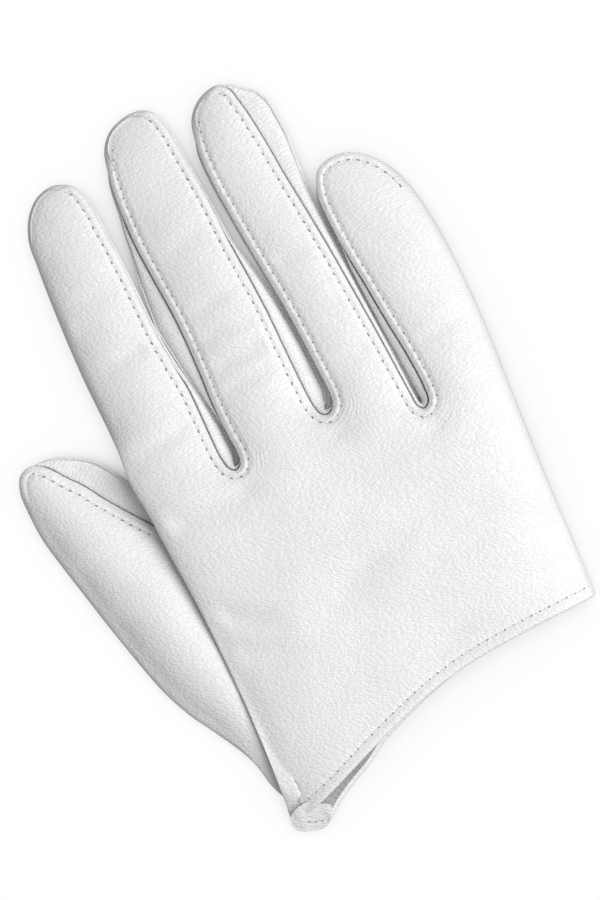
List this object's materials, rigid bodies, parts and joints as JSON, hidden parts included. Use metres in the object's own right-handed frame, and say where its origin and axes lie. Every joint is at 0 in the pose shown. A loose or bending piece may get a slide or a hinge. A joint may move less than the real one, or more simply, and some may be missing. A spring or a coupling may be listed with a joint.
{
  "type": "short leather glove",
  "caption": "Short leather dress glove for the right hand, lying palm down, with sewn-in finger side strips, a thumb let into the palm and a turned, stitched hem.",
  "frame": {"origin": "under the middle of the glove, on the surface that its palm side rests on", "axes": "+Y from the wrist to the fingertips, +Z from the palm side to the back of the hand, +X towards the little finger's side"},
  "size_m": [0.1134, 0.1681, 0.0114],
  "materials": {
    "leather": "fine-grained white glove leather with a soft sheen",
    "leather_back": "matt flesh side of the leather, seen inside the glove and at the turned hem",
    "thread": "white sewing thread, slightly glossy"
  },
  "bodies": {
    "hand": {"back_hem": "leather_back", "back_panel": "leather", "fork_index_middle": "leather", "fork_middle_ring": "leather", "fork_ring_little": "leather", "hem_stitching": "thread", "palm_hem": "leather_back", "palm_panel": "leather", "slit_stitching": "thread", "tab_bar_tack": "thread", "thumb_heel": "leather", "wrist_tab": "leather_back"},
    "index_base": {"index_base_back": "leather", "index_base_palm": "leather", "index_base_right_fourchette": "leather"},
    "index_mid": {"index_mid_back": "leather", "index_mid_palm": "leather", "index_mid_right_fourchette": "leather"},
    "index_tip": {"index_tip_back": "leather", "index_tip_palm": "leather", "index_tip_right_fourchette": "leather"},
    "middle_base": {"middle_base_back": "leather", "middle_base_left_fourchette": "leather", "middle_base_palm": "leather", "middle_base_right_fourchette": "leather"},
    "middle_mid": {"middle_mid_back": "leather", "middle_mid_left_fourchette": "leather", "middle_mid_palm": "leather", "middle_mid_right_fourchette": "leather"},
    "middle_tip": {"middle_tip_back": "leather", "middle_tip_left_fourchette": "leather", "middle_tip_palm": "leather", "middle_tip_right_fourchette": "leather"},
    "ring_base": {"ring_base_back": "leather", "ring_base_left_fourchette": "leather", "ring_base_palm": "leather", "ring_base_right_fourchette": "leather"},
    "ring_mid": {"ring_mid_back": "leather", "ring_mid_left_fourchette": "leather", "ring_mid_palm": "leather", "ring_mid_right_fourchette": "leather"},
    "ring_tip": {"ring_tip_back": "leather", "ring_tip_left_fourchette": "leather", "ring_tip_palm": "leather", "ring_tip_right_fourchette": "leather"},
    "little_base": {"little_base_back": "leather", "little_base_left_fourchette": "leather", "little_base_palm": "leather"},
    "little_mid": {"little_mid_back": "leather", "little_mid_left_fourchette": "leather", "little_mid_palm": "leather"},
    "little_tip": {"little_tip_back": "leather", "little_tip_left_fourchette": "leather", "little_tip_palm": "leather"},
    "thumb_base": {"thumb_base_lower": "leather", "thumb_base_upper": "leather"},
    "thumb_tip": {"thumb_tip_lower": "leather", "thumb_tip_upper": "leather"}
  },
  "joints": [
    {"name": "index_base_bend", "type": "hinge", "parent": "hand", "child": "index_base", "pos_m": [-0.02195, 0.008, 0.0055], "axis": [-0.9986, -0.0523, 0], "range_deg": [-20, 75]},
    {"name": "index_mid_bend", "type": "hinge", "parent": "index_base", "child": "index_mid", "pos_m": [-0.02284, 0.02498, 0.0055], "axis": [-0.9986, -0.0523, 0], "range_deg": [0, 80]},
    {"name": "index_tip_bend", "type": "hinge", "parent": "index_mid", "child": "index_tip", "pos_m": [-0.02404, 0.04795, 0.0055], "axis": [-0.9986, -0.0523, 0], "range_deg": [0, 53.34]},
    {"name": "middle_base_bend", "type": "hinge", "parent": "hand", "child": "middle_base", "pos_m": [0.00215, 0.012, 0.0055], "axis": [-0.9973, -0.0732, 0], "range_deg": [-20, 75]},
    {"name": "middle_mid_bend", "type": "hinge", "parent": "middle_base", "child": "middle_mid", "pos_m": [0.00098, 0.02796, 0.0055], "axis": [-0.9973, -0.0732, 0], "range_deg": [0, 80]},
    {"name": "middle_tip_bend", "type": "hinge", "parent": "middle_mid", "child": "middle_tip", "pos_m": [-0.001, 0.05489, 0.0055], "axis": [-0.9973, -0.0732, 0], "range_deg": [0, 53.34]},
    {"name": "ring_base_bend", "type": "hinge", "parent": "hand", "child": "ring_base", "pos_m": [0.0257, 0.012, 0.0055], "axis": [-0.9957, -0.0924, 0], "range_deg": [-20, 75]},
    {"name": "ring_mid_bend", "type": "hinge", "parent": "ring_base", "child": "ring_mid", "pos_m": [0.02431, 0.02694, 0.0055], "axis": [-0.9957, -0.0924, 0], "range_deg": [0, 80]},
    {"name": "ring_tip_bend", "type": "hinge", "parent": "ring_mid", "child": "ring_tip", "pos_m": [0.02191, 0.05282, 0.0055], "axis": [-0.9957, -0.0924, 0], "range_deg": [0, 53.34]},
    {"name": "little_base_bend", "type": "hinge", "parent": "hand", "child": "little_base", "pos_m": [0.04715, 0.0045, 0.0055], "axis": [-0.994, -0.1097, 0], "range_deg": [-20, 75]},
    {"name": "little_mid_bend", "type": "hinge", "parent": "little_base", "child": "little_mid", "pos_m": [0.04556, 0.01891, 0.0055], "axis": [-0.994, -0.1097, 0], "range_deg": [0, 80]},
    {"name": "little_tip_bend", "type": "hinge", "parent": "little_mid", "child": "little_tip", "pos_m": [0.04364, 0.03631, 0.0055], "axis": [-0.994, -0.1097, 0], "range_deg": [0, 53.34]},
    {"name": "thumb_base_bend", "type": "hinge", "parent": "hand", "child": "thumb_base", "pos_m": [-0.03565, -0.03, 0.00475], "axis": [-0.9516, -0.3074, 0], "range_deg": [0, 45]},
    {"name": "thumb_tip_bend", "type": "hinge", "parent": "thumb_base", "child": "thumb_tip", "pos_m": [-0.04241, -0.00907, 0.00475], "axis": [-0.9516, -0.3074, 0], "range_deg": [0, 55]}
  ],
  "couplings": [
    {"joint": "index_tip_bend", "follows": "index_mid_bend", "ratio": 0.66667},
    {"joint": "middle_tip_bend", "follows": "middle_mid_bend", "ratio": 0.66667},
    {"joint": "ring_tip_bend", "follows": "ring_mid_bend", "ratio": 0.66667},
    {"joint": "little_tip_bend", "follows": "little_mid_bend", "ratio": 0.66667}
  ]
}
